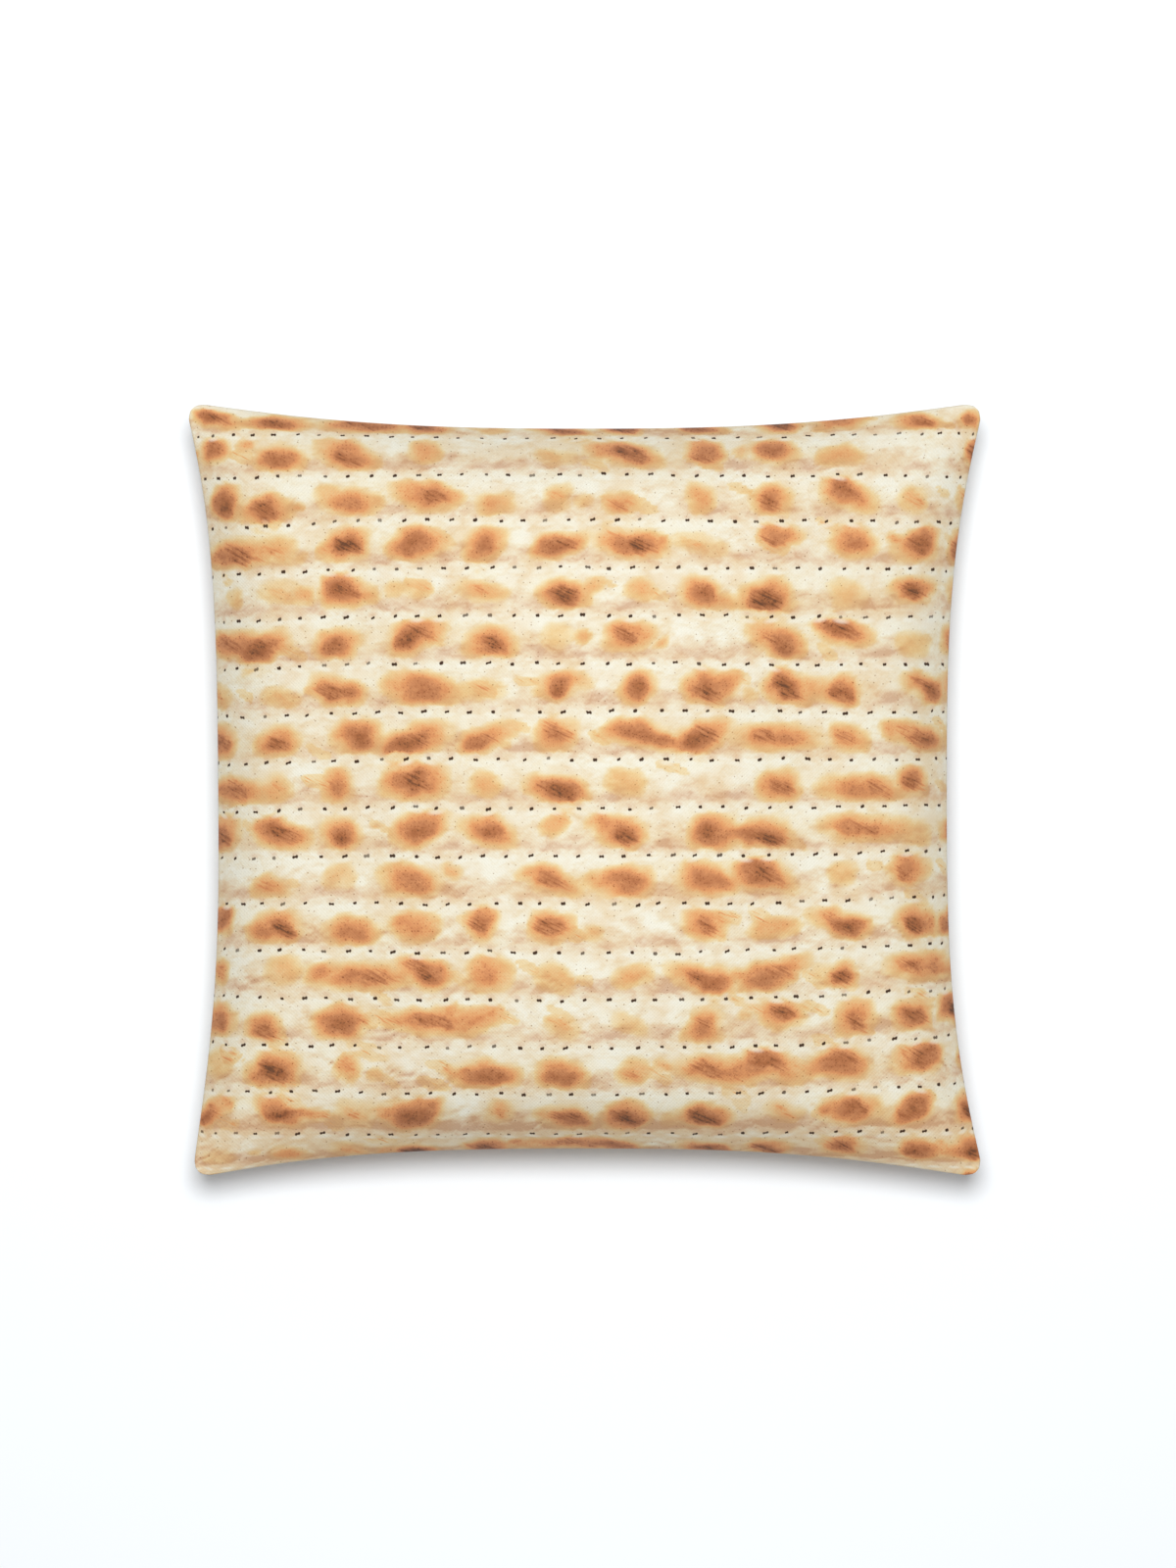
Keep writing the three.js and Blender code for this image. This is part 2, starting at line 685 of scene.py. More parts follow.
    def sew(self, grid: PanelGrid, cut: CoverCut) -> None:
        """Press in the seam, raise its lips and pucker the cloth beside it.

        At a distance d from the seam the cloth moves along its own outward direction. A lip stands up as
        (d / w) exp(1 - d / w) with w its width, puckers are noise along the seam that fades as
        exp(-d / pucker_reach), and the stuffing's lumps grow over lump_reach. The back is smooth where the
        floor presses it flat. In plan the seam sinks by groove_depth, fading as exp(-(d / groove_width)^2).

        Args:
            grid: The panels, which are changed.
            cut: The flat cut, which tells how far a point is from the seam.
        """
        s, t = np.meshgrid(grid.s, grid.t, indexing="ij")
        u, v = cut.flat(s, t)
        seams = (
            (cut.width / 2.0 - np.abs(u), v, np.sign(s)),
            (cut.length / 2.0 - np.abs(v), u, np.sign(t)),
        )
        d = np.minimum(seams[0][0], seams[1][0])
        lip = (d / self.lip_width) * np.exp(1.0 - d / self.lip_width) * self.lip_height
        for number, panel in enumerate((grid.face, grid.back)):
            seed = self.seed + number
            height = lip + self.lumps.at(seed, u, v) * ease(0.0, self.lump_reach, d)
            for gap, along, side in seams:
                fade = np.exp(-gap / self.pucker_reach) * ease(0.0, self.pucker_start, gap)
                bent = along + gap * self.pucker_sway.at(seed, along, side)
                apart = side * self.seams_apart + gap * self.pucker_drift
                height = height + self.puckers.at(seed, bent, apart) * fade
            if number == 1:
                height = height * ease(*self.pressed_flat, panel[..., 2])
            panel += height[..., None] * outward(panel, up=number == 0)
        sink = np.exp(-((d / self.groove_width) ** 2)) * self.groove_depth
        plan = np.stack([grid.face[..., 0], grid.face[..., 1]], -1)
        inward = -plan / np.maximum(np.linalg.norm(plan, axis=-1, keepdims=True), TINY)
        for panel in (grid.face, grid.back):
            panel[..., :2] += inward * sink[..., None]
        grid.back[0], grid.back[-1] = grid.face[0], grid.face[-1]
        grid.back[:, 0], grid.back[:, -1] = grid.face[:, 0], grid.face[:, -1]

    @staticmethod
    def land(grid: PanelGrid) -> None:
        """Set the cushion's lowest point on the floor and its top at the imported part's height.

        Args:
            grid: The panels, which are changed.
        """
        low = min(grid.face[..., 2].min(), grid.back[..., 2].min())
        tall = max(grid.face[..., 2].max(), grid.back[..., 2].max()) - low
        top = CAD_BOX[1][2]
        for panel in (grid.face, grid.back):
            panel[..., 2] = (panel[..., 2] - low) * top / tall


# ------------------------------------------------------------------------------------------ the print


class Mark(Enum):
    """What the oven left on the printed dough."""

    TOAST = "toast"
    HEART = "heart"
    SCAR = "scar"


class Spot(Enum):
    """What lies at one place of the print's loose grid, and the share of the places that have it."""

    BARE = 0.045
    FAINT = 0.24
    BOLD = 0.52
    SLANTING = 0.145
    LONG = 0.05


@dataclass(frozen=True)
class Patch:
    """One soft-edged patch of the print, a squarish oval in millimetres of the print."""

    mark: Mark
    u: float
    v: float
    half_width: float
    half_height: float
    tilt: float
    strength: float
    flatness: float = 2.0

    squareness: ClassVar[float] = 2.15
    edge: ClassVar[float] = 1.12
    softness: ClassVar[float] = 0.10
    halo: ClassVar[float] = 0.07
    halo_over: ClassVar[Pair] = (1.85, 0.8)
    reach_share: ClassVar[float] = 1.95
    reach_more: ClassVar[float] = 6.0

    @property
    def reach(self) -> float:
        """How far from its middle the patch can show, with its halo and its softened outline."""
        return self.reach_share * max(self.half_width, self.half_height) + self.reach_more

    def level(self, u: Array, v: Array) -> Array:
        """How strong the patch is at each place.

        With d the distance from the middle as a share of the way to the edge, taken with the power
        squareness in place of 2, it is strength times the sum of a dome and a faint halo round it. The
        dome x = 1 - (d / edge)^flatness has its rim softened to x^2 / (x + softness).

        Args:
            u: Places across the print.
            v: Places up the print.

        Returns:
            The level, 0 to strength.
        """
        du, dv = u - self.u, v - self.v
        along = (du * math.cos(self.tilt) + dv * math.sin(self.tilt)) / self.half_width
        across = (dv * math.cos(self.tilt) - du * math.sin(self.tilt)) / self.half_height
        power = self.squareness
        d = (np.abs(along) ** power + np.abs(across) ** power) ** (1.0 / power)
        dome = np.clip(1.0 - (d / self.edge) ** self.flatness, 0.0, 1.0)
        return self.strength * (dome**2 / (dome + self.softness) + self.halo * ease(*self.halo_over, d))


@dataclass(frozen=True)
class PrintLay:
    """How the print lies on the stuffed cover: straight as seen from above, and tucked in at the seams."""

    squeeze: float = 2.5
    squeeze_from: float = 165.0
    squeeze_over: float = 35.0
    tuck: float = 8.0
    tuck_reach: float = 14.0
    power: float = 1.5

    def places(self, plan: Array, gap_u: Array, gap_v: Array) -> tuple[Array, Array]:
        """Places of the print, in its own millimetres, at points of a stuffed panel.

        They are the plan position, pushed outwards by squeeze times a power of how far the point lies
        beyond squeeze_from, as a share of squeeze_over, and by tuck times the same power of
        (1 - gap / tuck_reach) beside a seam, where the cloth turns down out of sight.

        Args:
            plan: X and Y of the points, in millimetres.
            gap_u: Distance along the cloth from the left or right seam, in millimetres.
            gap_v: Distance along the cloth from the top or bottom seam, in millimetres.

        Returns:
            The print's u and v.
        """
        places = []
        for axis, gap in ((0, gap_u), (1, gap_v)):
            plain = plan[..., axis]
            beyond = np.clip((np.abs(plain) - self.squeeze_from) / self.squeeze_over, 0.0, None)
            tucked = np.clip(1.0 - gap / self.tuck_reach, 0.0, None)
            push = self.squeeze * beyond**self.power + self.tuck * tucked**self.power
            places.append(plain + np.sign(plain) * push)
        return places[0], places[1]


@dataclass(frozen=True)
class RowBend:
    """A stretch of the print where the rows leave the level, coming in over across and over along."""

    lift: float
    across: Pair
    along: Pair

    def at(self, u: Array, v: Array) -> Array:
        """How far the rows rise: lift times the ease across times the ease along."""
        return self.lift * ease(*self.across, u) * ease(*self.along, v)


@dataclass(frozen=True)
class FlatbreadPrint:
    """The print's rule: rows of docking marks, toasted patches between them and a puffed pale ground.

    Its lengths are millimetres of the print. The random draws are seeded, and their order, which is where a
    patch lies, what it is and then its own sizes, is part of the print.
    """

    seed: int
    patch_salt: int = 100
    flake_salt: int = 200
    top_row: float = 202.9
    bands: int = 17
    column_pitch: float = 40.0
    first_column: float = -254.0
    columns: int = 13
    stray_u: float = 3.2
    stray_v: float = 2.1
    bridge_share: float = 0.05
    freckle_share: float = 0.24
    scratch_share: float = 0.30
    faint_scar_share: float = 0.50
    lobe_share: float = 0.42
    scar_share: float = 0.50
    heart_share: float = 0.80
    usual_tilt: Pair = (-6.0, 12.0)
    flakes: int = 30
    flake_reach: float = 212.0
    flakes_from: float = -208.0
    flakes_over: float = 170.0
    flakes_gather: Pair = (1.3, 1.8)
    soften_u: Ripple = Ripple(2.7, 15.0, 3)
    soften_v: Ripple = Ripple(1.9, 14.0, 4)
    wander_along: Ripple = Ripple(1.0, 30.0, 1, 1)
    wander_row: Ripple = Ripple(0.55, 60.0, 2, 1)
    # The rows rise towards their lower right ends, less so at the very bottom, and a little at the upper
    # right. At their left ends they sink, apart from the lowest rows and the top ones.
    bends: tuple[RowBend, ...] = (
        RowBend(4.7, (40.0, 260.0), (60.0, -120.0)),
        RowBend(-1.88, (40.0, 260.0), (-130.0, -200.0)),
        RowBend(1.0, (100.0, 220.0), (20.0, 100.0)),
        RowBend(-2.1, (-110.0, -195.0), (-110.0, -20.0)),
        RowBend(2.1, (-110.0, -195.0), (140.0, 185.0)),
    )
    hollow: float = 0.60
    hollow_wander: Ripple = Ripple(0.5, 30.0, 41, squash=0.6)
    hollow_most: float = 1.1
    tan: float = 0.5
    tan_wander: Ripple = Ripple(0.4, 30.0, 22, squash=1.3)
    tan_flecks: Ripple = Ripple(0.22, 8.0, 21)
    # Painted shade along the lower edge: over this stretch the ground is made darker and more tan, standing
    # in for the cushion's lower side turning from the light; the print is browner there too.
    lower_edge_shade_over: Pair = (-176.0, -190.0)
    lower_edge_shade_tan: float = 0.45
    lower_edge_shade_strength: float = 0.20
    creases: Ripple = Ripple(1.0, 38.0, 31, 3, 0.6, 1.8)
    light_step: float = 0.8
    swelling: Ripple = Ripple(0.5, 34.0, 10)
    bubbles: Ripple = Ripple(1.1, 19.0, 11, squash=1.2)
    valleys: Ripple = Ripple(1.0, 30.0, 15, 2, 0.4, 1.4)
    valley_width: float = 0.30
    valley_depth: float = 0.2
    valley_lower: float = 0.7
    valleys_over: Pair = (0.0, -110.0)
    wrinkles: Ripple = Ripple(0.32, 8.0, 12, 3, 0.6, 1.3)

    def patches(self) -> Iterator[Patch]:
        """Lay the patches out on a loose grid, band by band and from left to right, and then the flakes.

        Yields:
            Each patch.
        """
        rng = np.random.default_rng(self.seed + self.patch_salt)
        spots = list(Spot)
        odds = [spot.value for spot in spots]
        for band in range(-1, self.bands):
            middle = self.top_row - ROW_PITCH * (band + 0.5)
            before = None
            for column in range(self.columns):
                u = self.first_column + self.column_pitch * column + rng.normal(0.0, self.stray_u)
                v = middle + rng.normal(0.0, self.stray_v)
                spot = spots[rng.choice(len(spots), p=odds)]
                yield from self._spot(rng, spot, u, v)
                bold = spot not in (Spot.BARE, Spot.FAINT)
                if bold and before is not None and rng.random() < self.bridge_share:
                    yield self._bridge(rng, before, (u, v))
                if rng.random() < self.freckle_share:
                    yield self._freckle(rng, u + rng.uniform(14.0, 26.0), v + rng.uniform(-7.0, 8.0))
                if rng.random() < self.scratch_share:
                    yield self._scratch(rng, u + rng.uniform(10.0, 30.0), v + rng.uniform(-7.0, 8.0))
                before = (u, v) if bold else None
        yield from self._flakes()

    def _flakes(self) -> Iterator[Patch]:
        """Strew small flaky scars, which gather in the lower bands.

        Yields:
            Each scar.
        """
        rng = np.random.default_rng(self.seed + self.flake_salt)
        for _ in range(self.flakes):
            v = self.flakes_from + self.flakes_over * rng.beta(*self.flakes_gather)
            u = rng.uniform(-self.flake_reach, self.flake_reach)
            yield self._scar(rng, u, v, rng.uniform(0.55, 0.95))

    def _spot(self, rng: Draws, spot: Spot, u: float, v: float) -> list[Patch]:
        """Draw the patches that make up one place of the loose grid.

        Args:
            rng: The seeded draws.
            spot: What lies there.
            u: The place across the print.
            v: The place up the print.

        Returns:
            The patches, none where the place is bare.
        """
        makers = {
            Spot.FAINT: self._faint,
            Spot.BOLD: self._bold,
            Spot.SLANTING: self._slanting,
            Spot.LONG: self._long,
        }
        return makers[spot](rng, u, v) if spot in makers else []

    @staticmethod
    def _toast(u: float, v: float, wide: float, high: float, tilt: float, strength: float) -> Patch:
        """A toasted patch, the flatter the paler it is."""
        return Patch(Mark.TOAST, u, v, wide, high, tilt, strength, 2.9 - 1.5 * strength)

    @staticmethod
    def _heart(u: float, v: float, wide: float, high: float, tilt: float, strength: float) -> Patch:
        """The well done middle of a toasted patch."""
        return Patch(Mark.HEART, u, v, wide, high, tilt, strength)

    def _faint(self, rng: Draws, u: float, v: float) -> list[Patch]:
        """Draw a patch that barely turned yellow, sometimes with a scar across it.

        Args:
            rng: The seeded draws.
            u: Its middle across the print.
            v: Its middle up the print.

        Returns:
            The patch and its scar.
        """
        tilt = math.radians(rng.normal(*self.usual_tilt))
        strength = rng.uniform(0.20, 0.54)
        wide = rng.uniform(9.0, 16.0)
        high = rng.uniform(6.0, 9.5)
        found = [self._toast(u, v, wide, high, tilt, strength)]
        if rng.random() < self.faint_scar_share:
            scar_u = u + rng.normal(0.0, 2.0)
            scar_v = v + rng.normal(0.0, 2.0)
            found.append(self._scar(rng, scar_u, scar_v, 0.75))
        return found

    def _bold(self, rng: Draws, u: float, v: float) -> list[Patch]:
        """Draw a round or oval patch with a darker heart, and often a paler lobe at its side.

        Args:
            rng: The seeded draws.
            u: Its middle across the print.
            v: Its middle up the print.

        Returns:
            The patch, its lobe and what its heart is made of.
        """
        wide = float(np.clip(rng.normal(14.6, 3.4), 9.5, 23.0))
        high = float(np.clip(rng.normal(10.6, 1.2), 8.0, 12.8))
        strength = rng.uniform(0.60, 0.90)
        tilt = math.radians(rng.normal(*self.usual_tilt))
        whole = self._toast(u, v, wide, high, tilt, strength)
        lobes = [self._lobe(rng, whole)] if rng.random() < self.lobe_share else []
        return [whole, *lobes, *self._middle(rng, whole)]

    def _lobe(self, rng: Draws, whole: Patch) -> Patch:
        """Draw a paler lobe at the left or right side of a patch.

        Args:
            rng: The seeded draws.
            whole: The patch.

        Returns:
            The lobe.
        """
        u = whole.u + rng.choice([-1.0, 1.0]) * whole.half_width * rng.uniform(0.55, 0.95)
        wide = whole.half_width * rng.uniform(0.5, 0.85)
        high = whole.half_height * rng.uniform(0.45, 0.8)
        tilt = DRAG_ANGLE * rng.uniform(-0.6, 1.3)
        strength = whole.strength * rng.uniform(0.45, 0.85)
        v = whole.v + rng.normal(0.0, 2.8)
        return self._toast(u, v, wide, high, tilt, strength)

    def _middle(self, rng: Draws, whole: Patch) -> list[Patch]:
        """Draw the heart of a bold patch: a scar with a dark core, or a plain dark oval, or nothing.

        Args:
            rng: The seeded draws.
            whole: The patch.

        Returns:
            What the heart is made of.
        """
        u = whole.u + rng.normal(0.0, 0.2) * whole.half_width
        v = whole.v + rng.normal(-1.4, 1.8)
        if rng.random() < self.scar_share:
            scar = self._scar(rng, u, v, 1.0)
            return [scar, replace(scar, mark=Mark.HEART, half_height=scar.half_height * 1.2)]
        if rng.random() < self.heart_share:
            wide = whole.half_width * rng.uniform(0.62, 1.0)
            high = whole.half_height * rng.uniform(0.55, 0.9)
            tilt = math.radians(rng.normal(-8.0, 8.0))
            return [self._heart(u, v, wide, high, tilt, rng.uniform(0.3, 0.9))]
        return []

    def _slanting(self, rng: Draws, u: float, v: float) -> list[Patch]:
        """Draw a long patch that leans, with its heart at one end.

        Args:
            rng: The seeded draws.
            u: Its middle across the print.
            v: Its middle up the print.

        Returns:
            The patch, its fuller end, its heart and its scar.
        """
        lean = DRAG_ANGLE * rng.choice([-1.0, 1.0], p=[0.5, 0.5]) * rng.uniform(0.5, 1.0)
        wide = rng.uniform(16.0, 23.0)
        high = rng.uniform(7.2, 9.2)
        strength = rng.uniform(0.48, 0.72)
        end = rng.choice([-1.0, 1.0]) * wide * 0.4
        du, dv = end * math.cos(lean), end * math.sin(lean)
        return [
            self._toast(u, v, wide, high, lean, strength),
            self._toast(u + du, v + dv - 1.0, wide * 0.6, high * 1.2, 0.0, strength * 0.8),
            self._heart(u + du, v + dv, wide * 0.5, high * 0.6, lean, rng.uniform(0.4, 1.0)),
            self._scar(rng, u - du * 0.3, v - dv * 0.3, 0.9),
        ]

    def _long(self, rng: Draws, u: float, v: float) -> list[Patch]:
        """Draw a long level patch that runs on to the next place, with two hearts.

        Args:
            rng: The seeded draws.
            u: Its place across the print.
            v: Its place up the print.

        Returns:
            The patch, its hearts and its scar.
        """
        wide = rng.uniform(24.0, 31.0)
        high = rng.uniform(8.2, 10.2)
        tilt = math.radians(rng.normal(-2.0, 4.0))
        return [
            self._toast(u + 8.0, v - 0.5, wide, high, tilt, rng.uniform(0.55, 0.74)),
            self._heart(u - 4.0, v, wide * 0.45, high * 0.7, 0.0, rng.uniform(0.5, 1.0)),
            self._heart(u + 19.0, v - 1.0, wide * 0.4, high * 0.6, 0.0, rng.uniform(0.3, 0.9)),
            self._scar(rng, u + rng.uniform(-6.0, 20.0), v, 1.0),
        ]

    def _bridge(self, rng: Draws, one: Pair, two: Pair) -> Patch:
        """Draw toast that joins two neighbouring patches.

        Args:
            rng: The seeded draws.
            one: The middle of the one patch.
            two: The middle of the other.

        Returns:
            The patch between them.
        """
        u = (one[0] + two[0]) / 2.0
        v = (one[1] + two[1]) / 2.0 + rng.normal(0.0, 1.5)
        tilt = math.atan2(two[1] - one[1], two[0] - one[0])
        wide = rng.uniform(16.0, 21.0)
        high = rng.uniform(6.0, 9.0)
        return self._toast(u, v, wide, high, tilt, rng.uniform(0.35, 0.60))

    def _freckle(self, rng: Draws, u: float, v: float) -> Patch:
        """A small round spot."""
        size = rng.uniform(3.5, 6.5)
        return self._toast(u, v, size, size * rng.uniform(0.7, 0.95), 0.0, rng.uniform(0.18, 0.50))

    def _scratch(self, rng: Draws, u: float, v: float) -> Patch:
        """A faint narrow scar on the bare dough."""
        return self._scar(rng, u, v, rng.uniform(0.55, 0.85))

    @staticmethod
    def _scar(rng: Draws, u: float, v: float, size: float) -> Patch:
        """Draw a lens-shaped scar of streaky crust, along the way the dough was dragged.

        Args:
            rng: The seeded draws.
            u: Its middle across the print.
            v: Its middle up the print.
            size: Its size and its strength, 1 being full.

        Returns:
            The scar.
        """
        tilt = DRAG_ANGLE + math.radians(rng.normal(0.0, 5.0))
        wide = rng.uniform(9.0, 14.5) * size
        high = rng.uniform(3.2, 5.0) * size
        return Patch(Mark.SCAR, u, v, wide, high, tilt, rng.uniform(0.6, 1.0) * size)

    def fields(self, u: Array, v: Array) -> dict[str, Array]:
        """Work the print out over a panel.

        Args:
            u: Places across the print, in its millimetres.
            v: Places up the print, in its millimetres.

        Returns:
            Three vector fields: "toast", "dough" and "place", as _toasting, _ground and _marking say.
        """
        v = v - sum(bend.at(u, v) for bend in self.bends)
        return {
            "toast": self._toasting(u, v),
            "dough": self._ground(u, v),
            "place": self._marking(u, v),
        }

    def _toasting(self, u: Array, v: Array) -> Array:
        """Add the patches up, with their outlines softened by noise.

        Toast grows towards 1 as 1 less the product of (1 - level). Of hearts and scars the strongest shows.

        Args:
            u: Places across the print.
            v: Places up the print.

        Returns:
            The toast level, the heart level and the scar level, each 0 to about 1.
        """
        soft_u = u + self.soften_u.at(self.seed, u, v)
        soft_v = v + self.soften_v.at(self.seed, u, v)
        bare = np.ones_like(u)
        strongest = {Mark.HEART: np.zeros_like(u), Mark.SCAR: np.zeros_like(u)}
        for patch in self.patches():
            close = (np.abs(u - patch.u) < patch.reach) & (np.abs(v - patch.v) < patch.reach)
            if not close.any():
                continue
            level = patch.level(soft_u[close], soft_v[close])
            if patch.mark is Mark.TOAST:
                bare[close] *= 1.0 - level
            else:
                found = strongest[patch.mark]
                found[close] = np.maximum(found[close], level)
        return np.stack([1.0 - bare, strongest[Mark.HEART], strongest[Mark.SCAR]], -1)

    def _ground(self, u: Array, v: Array) -> Array:
        """Work out the pale ground, with painted shade along the lower edge, where the print is also
        browner.

        Args:
            u: Places across the print.
            v: Places up the print.

        Returns:
            The printed light, above 0 where the relief faces the top and lowered by the painted shade along
            the lower edge; how tanned the ground is, more so along that edge; and the creases, which run
            where their field is near 0.
        """
        step = self.light_step
        slope = (self._relief(u, v - step) - self._relief(u, v + step)) / (2.0 * step)
        # Painted shade along the lower edge, where the print is also browner: it lowers the printed light
        # and tans the ground.
        lower_edge_shade = ease(*self.lower_edge_shade_over, v)
        tan = self.tan + self.tan_wander.at(self.seed, u, v) + self.tan_flecks.at(self.seed, u, v)
        creases = self.creases.at(self.seed, u, v)
        return np.stack([slope - self.lower_edge_shade_strength * lower_edge_shade, tan + self.lower_edge_shade_tan * lower_edge_shade, creases], -1)

    def _marking(self, u: Array, v: Array) -> Array:
        """Find where each place lies among the docking marks.

        Args:
            u: Places across the print.
            v: Places up the print.

        Returns:
            The count of docking marks along a row, the count of rows from the top one down, and how deep
            the shade above a row is.
        """
        along = (u + self.wander_along.at(self.seed, u, v)) / MARK_PITCH
        hollow = np.clip(self.hollow + self.hollow_wander.at(self.seed, u, v), 0.0, self.hollow_most)
        return np.stack([along, self._row(u, v), hollow], -1)

    def _row(self, u: Array, v: Array) -> Array:
        """Count of rows from the top one down, with a slight wander."""
        wander = self.wander_row.at(self.seed, u, v)
        return (self.top_row - v - wander) / ROW_PITCH

    def _relief(self, u: Array, v: Array) -> Array:
        """Work out the height of the pictured dough, in millimetres.

        Each band puffs up between its rows of marks, by an amount that swells and bubbles. Valleys run
        where their noise is near 0 and are deeper in the lower bands, and fine wrinkles cover it all.

        Args:
            u: Places across the print.
            v: Places up the print.

        Returns:
            The height.
        """
        row = self._row(u, v)
        band = row - np.floor(row)
        puff = ease(0.0, 0.5, np.minimum(band, 1.0 - band))
        height = puff * (1.0 + self.swelling.at(self.seed, u, v) + self.bubbles.at(self.seed, u, v))
        valley = ease(self.valley_width, 0.0, np.abs(self.valleys.at(self.seed, u, v)))
        deep = self.valley_depth + self.valley_lower * ease(*self.valleys_over, v)
        height = height - valley * deep * (0.3 + 0.7 * puff)
        return height + self.wrinkles.at(self.seed, u, v) * (0.4 + 0.6 * puff)


# ------------------------------------------------------------------------------------------ shading


def linear(red: float, green: float, blue: float) -> tuple[float, float, float, float]:
    """Turn a colour as seen on a screen into the values that the shader works in.

    Below 0.04045 a channel is divided by 12.92, and above it is ((value + 0.055) / 1.055)^2.4.

    Args:
        red: The screen's red, 0 to 255.
        green: The screen's green.
        blue: The screen's blue.

    Returns:
        The linear colour, with full alpha.
    """

    def one(value: float) -> float:
        """Undo the screen's curve for one channel."""
        v = value / 255.0
        return v / 12.92 if v <= 0.04045 else ((v + 0.055) / 1.055) ** 2.4

    return one(red), one(green), one(blue), 1.0


@dataclass(frozen=True)
class Grain:
    """A shader's noise: how wide its largest lumps are in millimetres, its detail and its roughness."""

    size: float
    detail: float = 0.0
    roughness: float = 0.5


@dataclass(frozen=True)
class Dots:
    """Scattered dots of about that radius, one in that share of the cells, in millimetres."""

    cell: float
    radius: float
    share: float


def math_node(operation: str, turned: bool = False) -> Callable[..., "Socket"]:
    """Make a method of Socket that adds one Math node, on the socket and any other value.

    Args:
        operation: The Math node's operation.
        turned: Whether the other value comes first, as in an operator's reflected form.

    Returns:
        The method.
    """

    def method(self: "Socket", *others: Any) -> "Socket":
        """Add the node."""
        values = (*others, self) if turned else (self, *others)
        return self.graph.maths(operation, *values)

    return method


@dataclass(frozen=True)
class Socket:
    """A number that flows through a shader, with the arithmetic operators adding Math nodes."""

    graph: "ShaderGraph"
    out: bpy.types.NodeSocket

    __add__ = __radd__ = math_node("ADD")
    __mul__ = __rmul__ = math_node("MULTIPLY")
    __sub__ = math_node("SUBTRACT")
    __rsub__ = math_node("SUBTRACT", turned=True)
    __truediv__ = math_node("DIVIDE")
    __rtruediv__ = math_node("DIVIDE", turned=True)
    __abs__ = math_node("ABSOLUTE")
    floor = math_node("FLOOR")
    ceiling = math_node("CEIL")
    nearest = math_node("ROUND")
    least = math_node("MINIMUM")

    def ease(self, low: float, high: float) -> "Socket":
        """Rise smoothly from 0 at low to 1 at high; low may be the larger one."""
        first, last, ends = (low, high, (0.0, 1.0)) if low < high else (high, low, (1.0, 0.0))
        return self.graph.add(
            "ShaderNodeMapRange",
            {"interpolation_type": "SMOOTHSTEP"},
            {"Value": self, "From Min": first, "From Max": last, "To Min": ends[0], "To Max": ends[1]},
        )


